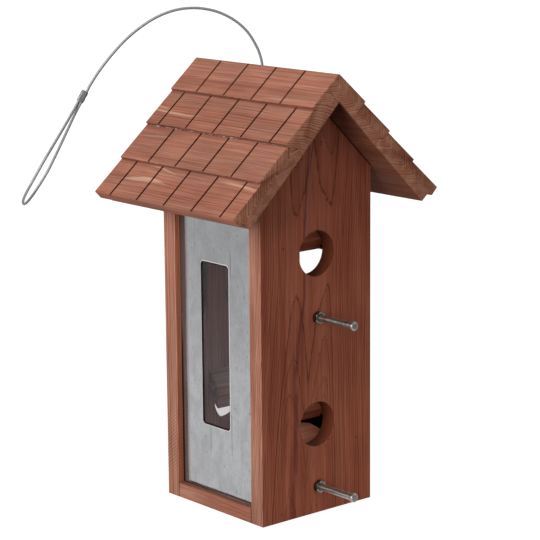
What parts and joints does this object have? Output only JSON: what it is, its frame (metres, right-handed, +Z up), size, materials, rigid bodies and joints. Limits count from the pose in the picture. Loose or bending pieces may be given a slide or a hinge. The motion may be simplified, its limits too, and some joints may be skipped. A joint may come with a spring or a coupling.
{
  "type": "seed bird feeder",
  "caption": "House-shaped cedar seed feeder with round ports, perches, metal sides with clear windows, and a shingle-cut roof that lifts along its hanging cable.",
  "frame": {"origin": "middle of the underside, on the ground plane", "axes": "+Z up, the gables with the ports face -Y and +Y, the metal sides face -X and +X, the ridge runs along Y"},
  "size_m": [0.3132, 0.2869, 0.4864],
  "materials": {
    "cedar_face": "unfinished planed cedar, reddish brown",
    "cedar_edge": "unfinished sawn cedar",
    "cedar_inner": "unfinished cedar offcuts",
    "cedar_roof": "unfinished cedar with pale streaks",
    "galvanised": "satin galvanised sheet",
    "clear_sheet": "clear plastic sheet",
    "wire_rope": "stranded galvanised wire rope",
    "sleeve_metal": "pressed aluminium sleeve",
    "perch_steel": "turned bright steel",
    "zinc_steel": "zinc-plated steel"
  },
  "bodies": {
    "house": {"front_wall": "cedar_face", "back_wall": "cedar_face", "floor_board": "cedar_edge", "seed_slope_front": "cedar_inner", "seed_slope_back": "cedar_inner", "baffle_front_upper": "cedar_inner", "baffle_front_lower": "cedar_inner", "baffle_back_upper": "cedar_inner", "baffle_back_lower": "cedar_inner", "side_panel_left": "galvanised", "side_panel_right": "galvanised", "window_left": "clear_sheet", "window_right": "clear_sheet", "hanger_bar": "cedar_inner", "stop_washer": "zinc_steel", "stop_sleeve": "sleeve_metal", "cable_inner": "wire_rope", "perch_front_upper": "perch_steel", "perch_front_lower": "perch_steel", "perch_back_upper": "perch_steel", "perch_back_lower": "perch_steel", "perch_outer_nuts": "zinc_steel", "perch_inner_nuts": "zinc_steel", "perch_washers": "zinc_steel", "wall_brads_front": "zinc_steel", "wall_brads_back": "zinc_steel"},
    "roof": {"roof_left_upper": "cedar_roof", "roof_left_lower": "cedar_roof", "roof_right_upper": "cedar_roof", "roof_right_lower": "cedar_roof", "ridge_brads": "zinc_steel", "hanging_cable": "wire_rope", "loop_ferrule": "sleeve_metal"}
  },
  "joints": [
    {"name": "roof_lift", "type": "slide", "parent": "house", "child": "roof", "axis": [0, 0, 1], "range_m": [0, 0.15], "deforming": ["cable_inner"]}
  ]
}
